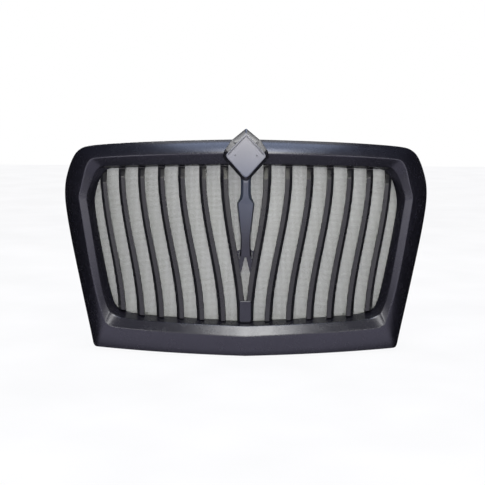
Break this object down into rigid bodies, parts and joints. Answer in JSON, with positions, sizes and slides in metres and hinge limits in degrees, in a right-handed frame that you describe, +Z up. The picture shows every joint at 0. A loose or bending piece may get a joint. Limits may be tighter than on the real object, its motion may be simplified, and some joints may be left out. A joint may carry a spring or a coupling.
{
  "type": "front grille",
  "caption": "Satin black truck front grille: bowed shell surround, S-curved vertical bars, centre spear, blank emblem pad and a rear bug screen, hung on bent steel brackets.",
  "frame": {"origin": "centre of the four bracket slots, in the plane of the hood face they bolt to", "axes": "+Y points back into the hood, so the front faces -Y; +X runs across the grille; +Z is up"},
  "size_m": [1.1008, 0.2268, 0.6715],
  "materials": {
    "surround_plastic": "satin moulded black with a faint violet cast",
    "seal_rubber": "matt",
    "carrier_plastic": "matt moulded black",
    "bar_plastic": "satin moulded black",
    "trim_plastic": "satin moulded black",
    "pad_base_plastic": "satin moulded black",
    "pad_face_plastic": "satin grey",
    "screen_wire": "bright woven wire",
    "retainer_plastic": "matt moulded black",
    "bracket_steel": "zinc plated",
    "fastener_zinc": "zinc plated"
  },
  "bodies": {
    "root": {"surround": "surround_plastic", "hood_seal": "seal_rubber", "carrier_frame": "carrier_plastic", "bar_left_1": "bar_plastic", "bar_left_2": "bar_plastic", "bar_left_3": "bar_plastic", "bar_left_4": "bar_plastic", "bar_left_5": "bar_plastic", "bar_left_6": "bar_plastic", "bar_left_7": "bar_plastic", "bar_right_1": "bar_plastic", "bar_right_2": "bar_plastic", "bar_right_3": "bar_plastic", "bar_right_4": "bar_plastic", "bar_right_5": "bar_plastic", "bar_right_6": "bar_plastic", "bar_right_7": "bar_plastic", "center_spear": "trim_plastic", "center_yoke": "trim_plastic", "vee_foot": "trim_plastic", "emblem_base": "pad_base_plastic", "emblem_plate": "pad_face_plastic", "bug_screen": "screen_wire", "screen_frame": "retainer_plastic", "bracket_upper_left": "bracket_steel", "bracket_upper_right": "bracket_steel", "bracket_lower_left": "bracket_steel", "bracket_lower_right": "bracket_steel", "surround_screws": "fastener_zinc", "bar_screws_upper": "fastener_zinc", "bar_screws_lower": "fastener_zinc", "spear_screw": "fastener_zinc", "emblem_screws": "fastener_zinc", "screen_screws": "fastener_zinc", "bracket_bolts": "fastener_zinc", "bracket_nuts": "fastener_zinc"}
  },
  "joints": []
}
